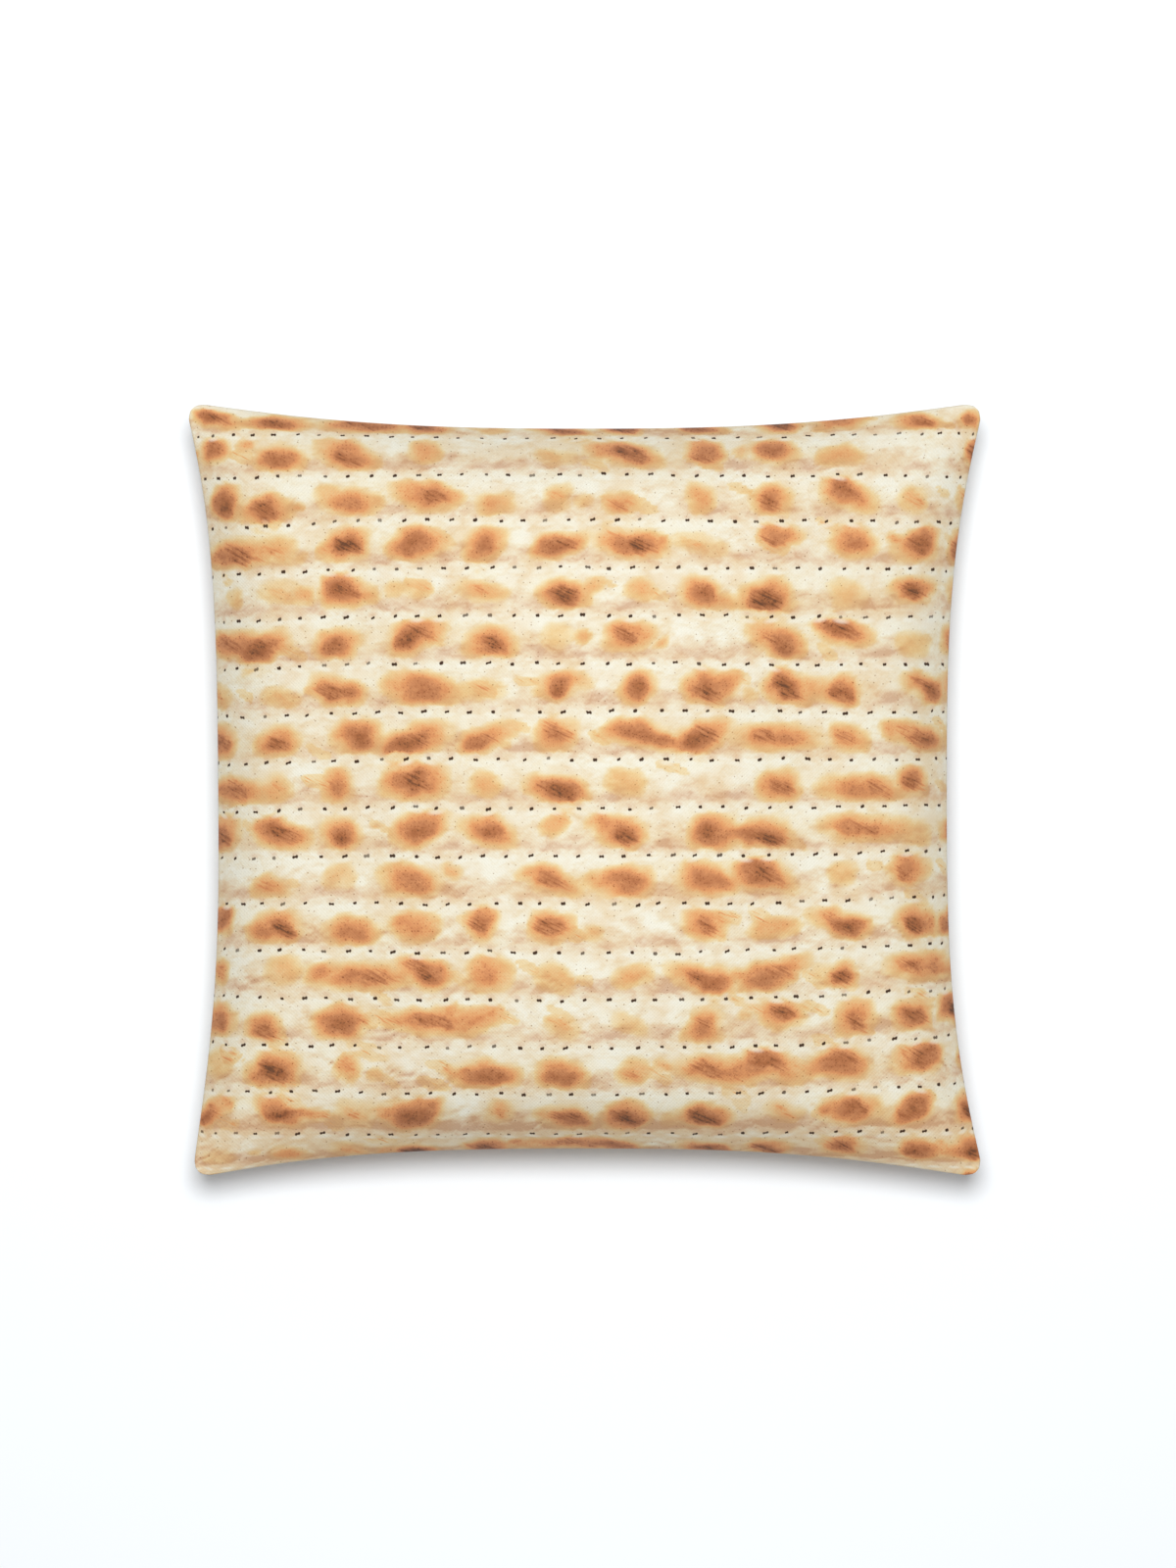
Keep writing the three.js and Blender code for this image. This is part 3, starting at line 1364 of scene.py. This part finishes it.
class ShaderGraph:
    """Writes a material's nodes from Python expressions."""

    def __init__(self, material: bpy.types.Material) -> None:
        """Start with the material's own shader and output only.

        Args:
            material: The material, which is changed.
        """
        material.use_nodes = True
        self.tree = material.node_tree
        self.shader = next(n for n in self.tree.nodes if n.type == "BSDF_PRINCIPLED")

    def add(
        self,
        kind: str,
        settings: dict[str, Any] | None = None,
        inputs: dict[str | int, Any] | None = None,
        output: str | int = 0,
    ) -> Socket:
        """Add any node.

        Args:
            kind: The node's type.
            settings: Its own settings, and the stops of its ramp, which are set before its inputs.
            inputs: Values or links of its sockets, by name or number.
            output: Which of its outputs to return.

        Returns:
            The chosen output.
        """
        node = self.tree.nodes.new(kind)
        for name, value in (settings or {}).items():
            if name == "stops":
                self._set_stops(node.color_ramp, value)
            else:
                setattr(node, name, value)
        for name, value in (inputs or {}).items():
            self._plug(node.inputs[name], value)
        return Socket(self, node.outputs[output])

    @staticmethod
    def _set_stops(run: bpy.types.ColorRamp, stops: Sequence[tuple[float, Sequence[float]]]) -> None:
        """Give a ramp its stops.

        Args:
            run: The ramp.
            stops: Places of 0 to 1, and the linear colour at each.
        """
        while len(run.elements) < len(stops):
            run.elements.new(1.0)
        for element, (place, colour) in zip(run.elements, stops):
            element.position = place
            element.color = colour

    def _plug(self, socket: bpy.types.NodeSocket, value: Any) -> None:
        """Link or set one input.

        Args:
            socket: The input.
            value: A Socket to link, or a value to set.
        """
        if isinstance(value, Socket):
            self.tree.links.new(value.out, socket)
        else:
            socket.default_value = value

    def finish(self, values: dict[str, Any]) -> None:
        """Link or set inputs of the material's own shader, by name."""
        for name, value in values.items():
            self._plug(self.shader.inputs[name], value)

    def maths(self, operation: str, *values: Any) -> Socket:
        """Add a Math node on one, two or three values."""
        return self.add("ShaderNodeMath", {"operation": operation}, dict(enumerate(values)))

    def vector(self, operation: str, *values: Any) -> Socket:
        """Add a Vector Math node, whose SCALE reads its factor from its fourth input."""
        inputs = {3 if operation == "SCALE" and i == 1 else i: v for i, v in enumerate(values)}
        return self.add("ShaderNodeVectorMath", {"operation": operation}, inputs)

    def length(self, x: Socket, y: Socket) -> Socket:
        """Length of the vector (x, y)."""
        return self.maths("SQRT", x * x + y * y)

    def split(self, source: Socket) -> tuple[Socket, Socket, Socket]:
        """Take a vector apart into its three numbers."""
        outs = self.add("ShaderNodeSeparateXYZ", None, {0: source}).out.node.outputs
        return Socket(self, outs[0]), Socket(self, outs[1]), Socket(self, outs[2])

    def join(self, x: Any, y: Any, z: Any = 0.0) -> Socket:
        """Make a vector of three numbers."""
        return self.add("ShaderNodeCombineXYZ", None, {0: x, 1: y, 2: z})

    def attribute(self, name: str) -> Socket:
        """Read one of the piece's own vector attributes."""
        return self.add("ShaderNodeAttribute", {"attribute_name": name}, None, "Vector")

    def noise(self, at: Socket, grain: Grain) -> Socket:
        """Smooth noise, about -1 to 1."""
        settings = {"noise_dimensions": "3D"}
        inputs = {"Scale": 1.0 / grain.size, "Detail": grain.detail, "Roughness": grain.roughness}
        return (self.add("ShaderNodeTexNoise", settings, {"Vector": at, **inputs}) - 0.5) * 4.0

    def chance(self, at: Socket) -> tuple[Socket, Socket, Socket]:
        """Three random numbers, 0 to 1, that change from one whole place to the next."""
        settings = {"noise_dimensions": "3D"}
        return self.split(self.add("ShaderNodeTexWhiteNoise", settings, {"Vector": at}, "Color"))

    def dots(self, at: Socket, dots: Dots) -> Socket:
        """Scatter dots, one at most in each cell of a Voronoi pattern, and each of its own size.

        Args:
            at: The place.
            dots: Their cell, radius and share.

        Returns:
            1 inside a dot and 0 outside, with a soft edge.
        """
        inputs = {"Vector": at, "Scale": 1.0 / dots.cell}
        near = self.add("ShaderNodeTexVoronoi", {"voronoi_dimensions": "2D"}, inputs, "Distance")
        chance, size, _ = self.split(Socket(self, near.out.node.outputs["Color"]))
        apart = near / (size * 0.6 + 0.7)
        inside = apart.ease(dots.radius * 1.35 / dots.cell, dots.radius * 0.65 / dots.cell)
        return inside * chance.ease(dots.share, dots.share - 0.01)

    def blend(self, share: Any, first: Any, second: Any, way: str = "MIX") -> Socket:
        """Mix two colours; share is how much of the second one shows."""
        settings = {"data_type": "RGBA", "blend_type": way, "clamp_factor": True}
        return self.add("ShaderNodeMix", settings, {0: share, 6: first, 7: second}, 2)

    def ramp(
        self, at: Socket, stops: Sequence[tuple[float, Screen]], reach: float, over: Screen = (255, 255, 255)
    ) -> Socket:
        """Read a run of colours at a value of 0 to reach.

        Args:
            at: The value.
            stops: Places, up to reach, and the screen colour at each.
            reach: The value at the ramp's far end.
            over: A screen colour that all of them are divided by, to make a run of tints.

        Returns:
            The colour.
        """
        places = [place / reach for place, _ in stops]
        tints = [[a / b for a, b in zip(linear(*colour), linear(*over))] for _, colour in stops]
        settings = {"stops": list(zip(places, tints))}
        return self.add("ShaderNodeValToRGB", settings, {"Fac": at * (1.0 / reach)})


@dataclass(frozen=True)
class Lip:
    """The uneven lower edge of a puffed band, in millimetres up from its row of marks.

    It comes in sharply over edge for the share sharp of it and softly over slope for the rest. The crust
    under a row comes in over foot, and least of it shows at the row itself. The shade above the lip comes
    in over shade_edge and fades out over shade_reach.
    """

    height: float = 2.8
    wander: float = 2.1
    grain: Grain = Grain(18.0, 2.0, 0.65)
    stretch: float = 0.3
    fray: float = 0.8
    edge: Pair = (-0.9, 1.6)
    slope: Pair = (-1.0, 5.0)
    sharp: float = 0.65
    foot: Pair = (-0.8, 3.8)
    least: float = 0.16
    shade_edge: Pair = (-0.9, 2.0)
    shade_reach: float = 16.0


@dataclass(frozen=True)
class DockingMark:
    """One small dark mark, in millimetres: two dots joined by a bar, a smudge above and an apron below.

    A pair is the half width and the half height of an oval.
    """

    stray_along: float = 2.2
    stray_up: float = 1.3
    slope: float = 0.5
    smallest: float = 0.82
    larger: float = 0.3
    half_gap: float = 0.38
    wider: float = 0.50
    left_dot: Pair = (0.62, 0.74)
    left_drop: float = 0.10
    right_dot: Pair = (0.62, 0.80)
    right_rise: float = 0.08
    bar_ends: float = 0.3
    bar_height: float = 0.55
    smudge: Pair = (3.0, 2.0)
    smudge_rise: float = 1.9
    apron: Pair = (5.0, 1.7)
    apron_drop: float = 2.1
    raggedness: float = 0.18
    palest: float = 0.68
    darker: float = 0.30


@dataclass(frozen=True)
class PrintedCloth:
    """Smooth woven polyester with the flatbread print on it."""

    name: str = "printed_cloth"
    brightness: float = 0.762
    toast_run: tuple[tuple[float, Screen], ...] = (
        (0.00, (245, 242, 226)),
        (0.05, (243, 236, 212)),
        (0.12, (241, 223, 181)),
        (0.22, (239, 208, 153)),
        (0.34, (236, 190, 132)),
        (0.44, (236, 178, 120)),
        (0.52, (231, 164, 108)),
        (0.60, (224, 152, 100)),
        (0.68, (208, 140, 93)),
        (0.80, (192, 124, 81)),
        (0.92, (176, 110, 68)),
        (1.06, (146, 91, 57)),
        (1.20, (112, 72, 48)),
    )
    toast_reach: float = 1.2
    dough_run: tuple[tuple[float, Screen], ...] = (
        (0.00, (217, 184, 154)),
        (0.25, (230, 206, 177)),
        (0.50, (237, 222, 194)),
        (0.75, (241, 233, 210)),
        (1.00, (245, 242, 226)),
    )
    pale_dough: Screen = (245, 242, 226)
    tan_dough: Screen = (235, 211, 171)
    under_crust: Screen = (240, 249, 255)
    speck: Screen = (185, 160, 138)
    ink: Screen = (58, 30, 4)
    smudge: Screen = (222, 186, 152)
    fine: Grain = Grain(3.0, 3.0, 0.65)
    mottle: Grain = Grain(8.0, 2.0)
    rough: Grain = Grain(1.7, 2.0, 0.7)
    grit: Grain = Grain(4.2, 3.0, 0.62)
    grit_step: float = 0.7
    streaks: Grain = Grain(1.6, 1.0, 0.7)
    streak_stretch: float = 0.13
    char: Dots = Dots(3.4, 0.70, 0.5)
    pits: Dots = Dots(2.3, 0.42, 0.6)
    specks: Dots = Dots(4.6, 0.36, 0.34)
    lip: Lip = Lip()
    rows: Pair = (-0.5, 15.6)
    row_fade: float = 0.1
    mark: DockingMark = DockingMark()
    ragged: Grain = Grain(1.4, 1.0)
    fibres: Grain = Grain(1.1, 1.0)
    fluff: Grain = Grain(0.55)
    thread_pitch: float = 1.05
    slub: Grain = Grain(1.3)
    slub_stretch: float = 0.12
    weave_strength: float = 0.35
    weave_depth: float = 0.00018
    roughness: float = 0.86
    sheen: float = 0.05
    gloss: float = 0.25

    def material(self) -> bpy.types.Material:
        """Build the material.

        Returns:
            It reads the piece's UV map "cloth", in metres of flat cloth, and its print attributes.
        """
        material = bpy.data.materials.new(self.name)
        graph = ShaderGraph(material)
        cloth = graph.add("ShaderNodeUVMap", {"uv_map": "cloth"})
        at = graph.vector("SCALE", cloth, MILLIMETRES)
        fine = graph.noise(at, self.fine)
        rim, shade = self._pinch(graph, at, fine)
        tone = self._tone(graph, at, fine, rim)
        colour = self._dough(graph, at, tone, shade)
        colour = self._docking(graph, at, colour)
        weave, thread = self._weave(graph, at)
        grain = graph.noise(at, self.fibres) * 0.022 + graph.noise(at, self.fluff) * 0.02 + thread * 0.02
        grey = (grain + 1.0) * self.brightness
        colour = graph.blend(1.0, colour, graph.join(grey, grey, grey), "MULTIPLY")
        relief = {"Height": weave, "Strength": self.weave_strength, "Distance": self.weave_depth}
        graph.finish(
            {
                "Base Color": colour,
                "Normal": graph.add("ShaderNodeBump", None, relief),
                "Roughness": self.roughness,
                "Sheen Weight": self.sheen,
                "Specular IOR Level": self.gloss,
            }
        )
        return material

    def _pinch(self, graph: ShaderGraph, at: Socket, fine: Socket) -> tuple[Socket, Socket]:
        """How a place lies between two rows of docking marks, where the dough was pinched.

        Just above each row the puffed band ends in an uneven lip, with a pale apron under it.

        Args:
            graph: The material's nodes.
            at: The place on the cloth, in millimetres.
            fine: The fine noise there.

        Returns:
            How much of the crust shows, from least at the rows to 1 in the band; and the shade on the
            band's lower side, which is deepest at the lip.
        """
        lip = self.lip
        _, row, hollow = graph.split(graph.attribute("place"))
        up = (row.ceiling() - row) * ROW_PITCH
        down = (row - row.floor()) * ROW_PITCH
        level = graph.vector("MULTIPLY", at, (1.0, lip.stretch, 1.0))
        over = up - (graph.noise(level, lip.grain) * lip.wander + fine * lip.fray + lip.height)
        rim = over.ease(*lip.edge) * lip.sharp + over.ease(*lip.slope) * (1.0 - lip.sharp)
        rim = rim * (down + fine * lip.fray).ease(*lip.foot)
        shade = over.ease(*lip.shade_edge) * over.ease(lip.shade_reach, 0.0) * hollow
        return rim * (1.0 - lip.least) + lip.least, shade

    def _tone(self, graph: ShaderGraph, at: Socket, fine: Socket, rim: Socket) -> Socket:
        """How toasted the print is: patches, their hearts, pits, specks, and scars with drag lines.

        A patch is mottled, and a little paler where the printed light falls on it. On crust a scar adds
        dark streaks, and on bare dough a yellow lens with a few of them.

        Args:
            graph: The material's nodes.
            at: The place on the cloth, in millimetres.
            fine: The fine noise there.
            rim: How much of the crust shows.

        Returns:
            The tone, 0 for bare dough to about 1.2 for char.
        """
        toast, heart, scar = graph.split(graph.attribute("toast"))
        toast = toast * rim
        cos, sin = math.cos(DRAG_ANGLE), math.sin(DRAG_ANGLE)
        u, v, _ = graph.split(at)
        drag = graph.join((u * cos + v * sin) * self.streak_stretch, v * cos - u * sin)
        lines = graph.noise(drag, self.streaks)
        mottle = graph.noise(at, self.mottle)
        rough = graph.noise(at, self.rough)
        light, _, _ = graph.split(graph.attribute("dough"))
        tone = toast * (fine * 0.08 + mottle * 0.07 + rough * 0.05 - light * 0.24 + 1.0)
        tone = tone + (mottle * 0.010 + fine * 0.012 + 0.006)
        char = graph.dots(at, self.char)
        tone = tone + heart * toast.ease(0.2, 0.6) * (fine * 0.07 + lines * 0.06 + char * 0.13 + 0.18)
        tone = tone + graph.dots(at, self.pits) * toast.ease(0.15, 0.6) * 0.16
        inside = toast.ease(0.08, 0.4)
        on_crust = scar.ease(0.10, 0.5) * (lines.ease(-0.5, 0.9) * 0.22 + 0.03) * inside
        on_dough = scar.ease(0.06, 0.22) * 0.13 + scar.ease(0.2, 0.5) * lines.ease(0.1, 0.9) * 0.36
        return tone + on_crust + on_dough * (1.0 - inside)

    def _dough(self, graph: ShaderGraph, at: Socket, tone: Socket, shade: Socket) -> Socket:
        """Colour the crust, and paint the light of the pictured relief on it.

        The dough is pale where it faces the top and pinkish where it faces down.

        Args:
            graph: The material's nodes.
            at: The place on the cloth, in millimetres.
            tone: How toasted the print is.
            shade: The shade on a band's lower side.

        Returns:
            The colour.
        """
        light, tan, crease = graph.split(graph.attribute("dough"))
        pale = tone.ease(0.5, 0.08)
        below = graph.vector("ADD", at, (0.0, -self.grit_step, 0.0))
        above = graph.vector("ADD", at, (0.0, self.grit_step, 0.0))
        grit = graph.noise(below, self.grit) - graph.noise(above, self.grit)
        fold = abs(crease).ease(0.10, 0.0)
        lit = light * 1.35 + grit * 0.20 - shade * 0.64 - fold * 0.15 + 0.82
        tint = graph.ramp(lit, self.dough_run, 1.0, self.pale_dough)
        crust = graph.ramp(tone, self.toast_run, self.toast_reach)
        colour = graph.blend(tan.ease(0.25, 0.95) * pale * 0.64, crust, linear(*self.tan_dough))
        colour = graph.blend((1.0 - pale) * shade, colour, linear(*self.under_crust), "MULTIPLY")
        colour = graph.blend(pale * 0.7 + 0.3, colour, tint, "MULTIPLY")
        speck = graph.dots(at, self.specks)
        return graph.blend(speck * 0.75, colour, linear(*self.speck), "MULTIPLY")

    def _docking(self, graph: ShaderGraph, at: Socket, colour: Socket) -> Socket:
        """Print the rows of small dark docking marks, each a jittered bow tie.

        A smudge lies above each mark, where the crust was pressed, and a pale apron below it. Each row's
        marks begin at a random share of their pitch.

        Args:
            graph: The material's nodes.
            at: The place on the cloth, in millimetres.
            colour: The dough's colour.

        Returns:
            The colour with the marks on it.
        """
        mark = self.mark
        along, row, _ = graph.split(graph.attribute("place"))
        line = row.nearest()
        along = along + graph.chance(graph.join(line, 3.0, 5.0))[0]
        number = along.floor()
        cell = graph.join(number, line, 1.0)
        shift_u, shift_v, size = graph.chance(cell)
        kind, lean, dark = graph.chance(graph.vector("ADD", cell, (0.5, 0.25, 7.0)))
        du = (along - number - 0.5) * MARK_PITCH - (shift_u - 0.5) * mark.stray_along
        dv = (line - row) * ROW_PITCH - (shift_v - 0.5) * mark.stray_up
        dv = dv - (lean - 0.5) * du * mark.slope
        size = size * mark.larger + mark.smallest
        ragged = graph.noise(at, self.ragged) * mark.raggedness
        half = kind.ease(0.2, 1.0) * mark.wider + mark.half_gap
        left = graph.length((du + half) / mark.left_dot[0], (dv + mark.left_drop) / mark.left_dot[1])
        right = graph.length((du - half) / mark.right_dot[0], (dv - mark.right_rise) / mark.right_dot[1])
        bar = graph.length(du / (half + mark.bar_ends), dv / mark.bar_height)
        near = left.least(right).least(bar) / size + ragged
        ink = near.ease(1.45, 0.85) * (dark.ease(0.0, 0.3) * mark.darker + mark.palest)
        first, last = self.rows
        ink = ink * row.ease(first - self.row_fade, first + self.row_fade)
        ink = ink * row.ease(last + self.row_fade, last - self.row_fade)
        smudge = graph.length(du / mark.smudge[0], (dv - mark.smudge_rise) / mark.smudge[1])
        apron = graph.length(du / mark.apron[0], (dv + mark.apron_drop) / mark.apron[1])
        colour = graph.blend(apron.ease(1.3, 0.2) * 0.55, colour, linear(*self.pale_dough))
        colour = graph.blend((smudge + ragged).ease(1.3, 0.1) * 0.5, colour, linear(*self.smudge))
        return graph.blend(ink, colour, linear(*self.ink))

    def _weave(self, graph: ShaderGraph, at: Socket) -> tuple[Socket, Socket]:
        """A plain weave: threads pass over and under each other like a chequerboard.

        Args:
            graph: The material's nodes.
            at: The place on the cloth, in millimetres.

        Returns:
            The weave's height and its printed brightness, both about -1 to 1.
        """
        turn = math.pi / self.thread_pitch
        thin = self.slub_stretch
        u, v, _ = graph.split(at)
        over = graph.maths("SINE", u * turn) * graph.maths("SINE", v * turn)
        slub = graph.noise(graph.vector("MULTIPLY", at, (thin, 1.0, 1.0)), self.slub)
        slub = slub + graph.noise(graph.vector("MULTIPLY", at, (1.0, thin, 1.0)), self.slub)
        return over + slub * 0.35, over * 0.5 + slub * 0.35


@dataclass(frozen=True)
class PaleFloor:
    """A plain near-white floor."""

    name: str = "pale_floor"
    colour: tuple[float, float, float, float] = (0.83, 0.863, 0.895, 1.0)
    roughness: float = 0.9

    def material(self) -> bpy.types.Material:
        """Build the material.

        Returns:
            A dull plain one.
        """
        material = bpy.data.materials.new(self.name)
        finish = {"Base Color": self.colour, "Roughness": self.roughness, "Specular IOR Level": 0.0}
        ShaderGraph(material).finish(finish)
        return material


# ---------------------------------------------------------------------------------------- the cushion


@dataclass
class ThrowCushion:
    """The stuffed, sewn and printed cushion, one closed piece."""

    cut: CoverCut = field(default_factory=CoverCut)
    stuffing: Stuffing = field(default_factory=Stuffing)
    surface: CoverSurface = field(default_factory=CoverSurface)
    lay: PrintLay = field(default_factory=PrintLay)
    cloth: PrintedCloth = field(default_factory=PrintedCloth)
    face_seed: int = 10
    back_seed: int = 23
    fill: float = 0.85

    def build(self) -> bpy.types.Object:
        """Stuff the cover, refine it, sew it and print it.

        Returns:
            The cushion's object, at the origin, with its place in its mesh.
        """
        grid = self.surface.refine(self.stuffing.settle(self.cut), self.cut)
        self.surface.fit_outline(grid, self.cut)
        self.surface.sew(grid, self.cut)
        self.surface.land(grid)
        mesh = bpy.data.meshes.new("cushion_cover")
        mesh.from_pydata(grid.points(), [], grid.quads())
        mesh.polygons.foreach_set("use_smooth", np.ones(len(mesh.polygons), dtype=bool))
        self._print(mesh, grid)
        mesh.update()
        return in_scene(mesh)

    def _print(self, mesh: bpy.types.Mesh, grid: PanelGrid) -> None:
        """Store the flat cloth's places and the print's fields on the corners of the faces.

        Each panel is printed as seen from outside, so the back's u runs the other way.

        Args:
            mesh: The cushion's mesh, which is changed.
            grid: The panels that it was made from.
        """
        s, t = np.meshgrid(grid.s, grid.t, indexing="ij")
        u, v = self.cut.flat(s, t)
        gap_u = (self.cut.width / 2.0 - abs(u)) * MILLIMETRES
        gap_v = (self.cut.length / 2.0 - abs(v)) * MILLIMETRES
        corners = cell_corners(np.arange(grid.lines * grid.lines).reshape(grid.lines, grid.lines))
        flat = np.stack([u, v], -1).reshape(-1, 2)
        layers: dict[str, list[Array]] = {"toast": [], "dough": [], "place": [], "cloth": []}
        for seed, panel, side in ((self.face_seed, grid.face, 1), (self.back_seed, grid.back, -1)):
            order = corners[:, ::side].ravel()
            print_u, print_v = self.lay.places(panel[..., :2] * MILLIMETRES, gap_u, gap_v)
            for name, values in FlatbreadPrint(seed).fields(print_u * side, print_v).items():
                layers[name].append(values.reshape(-1, 3)[order])
            aside = (1 - side) * self.cut.width
            layers["cloth"].append(flat[order] * (side, 1) + (aside, 0.0))
        uv = mesh.uv_layers.new(name="cloth")
        uv.data.foreach_set("uv", np.concatenate(layers.pop("cloth")).ravel())
        for name, both in layers.items():
            layer = mesh.attributes.new(name, "FLOAT_VECTOR", "CORNER")
            layer.data.foreach_set("vector", np.concatenate(both).ravel())

    def dress(self, cushion: bpy.types.Object) -> None:
        """Give the cushion its cloth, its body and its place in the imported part.

        Args:
            cushion: The cushion's object.
        """
        cushion.data.materials.append(self.cloth.material())
        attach(cushion, "root")
        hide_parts(NODE)


# ----------------------------------------------------------------------------------------- the studio


@dataclass(frozen=True)
class Studio:
    """A pale floor, soft light from above and from the print's top edge, and a camera straight above."""

    frame_height: float = 0.890
    look_at: tuple[float, float, float] = (0.00195, 0.0033, 0.056)
    camera_height: float = 2.4
    sensor: float = 36.0
    floor_size: float = 12.0
    floor: PaleFloor = PaleFloor()
    sky_colour: tuple[float, float, float, float] = (1.0, 1.0, 1.0, 1.0)
    sky: float = 0.42
    lamp_power: float = 47.0
    lamp_size: float = 0.72
    lamp_place: tuple[float, float, float] = (0.0, 0.37, 2.27)

    def lay_floor(self) -> None:
        """Lay the floor that the cushion lies on."""
        floor = square_floor("studio_floor", self.floor_size)
        floor.data.materials.append(self.floor.material())

    def light(self) -> None:
        """Hang one large soft lamp over the print's top edge, and fill the room with even light."""
        world = bpy.data.worlds.new("soft_room")
        world.use_nodes = True
        background = next(n for n in world.node_tree.nodes if n.type == "BACKGROUND")
        background.inputs["Color"].default_value = self.sky_colour
        background.inputs["Strength"].default_value = self.sky
        bpy.context.scene.world = world
        lamp = bpy.data.lights.new("key_lamp", "AREA")
        lamp.shape = "DISK"
        lamp.size = self.lamp_size
        lamp.energy = self.lamp_power
        hung = in_scene(lamp)
        hung.location = self.lamp_place
        hung.rotation_euler = Vector(self.lamp_place).to_track_quat("Z", "Y").to_euler()

    def place_camera(self) -> None:
        """Look straight down with the frame's height set by the lens, and show the colours as they are."""
        camera = bpy.data.cameras.new("camera")
        camera.sensor_width = self.sensor
        camera.lens = self.sensor * self.camera_height / self.frame_height
        placed = in_scene(camera)
        x, y, z = self.look_at
        placed.location = (x, y, z + self.camera_height)
        bpy.context.scene.camera = placed
        bpy.context.scene.view_settings.view_transform = "Standard"


def main() -> None:
    """Build the cushion and its studio, and report each piece."""
    logging.basicConfig(level=logging.INFO, format="%(name)s: %(message)s")
    design = ThrowCushion()
    cushion = design.build()
    design.dress(cushion)
    LOG.info("%s: %d faces", cushion.name, len(cushion.data.polygons))
    studio = Studio()
    studio.lay_floor()
    studio.light()
    studio.place_camera()
    LOG.info("studio: floor, lamp and camera")


if __name__ == "__main__":
    main()
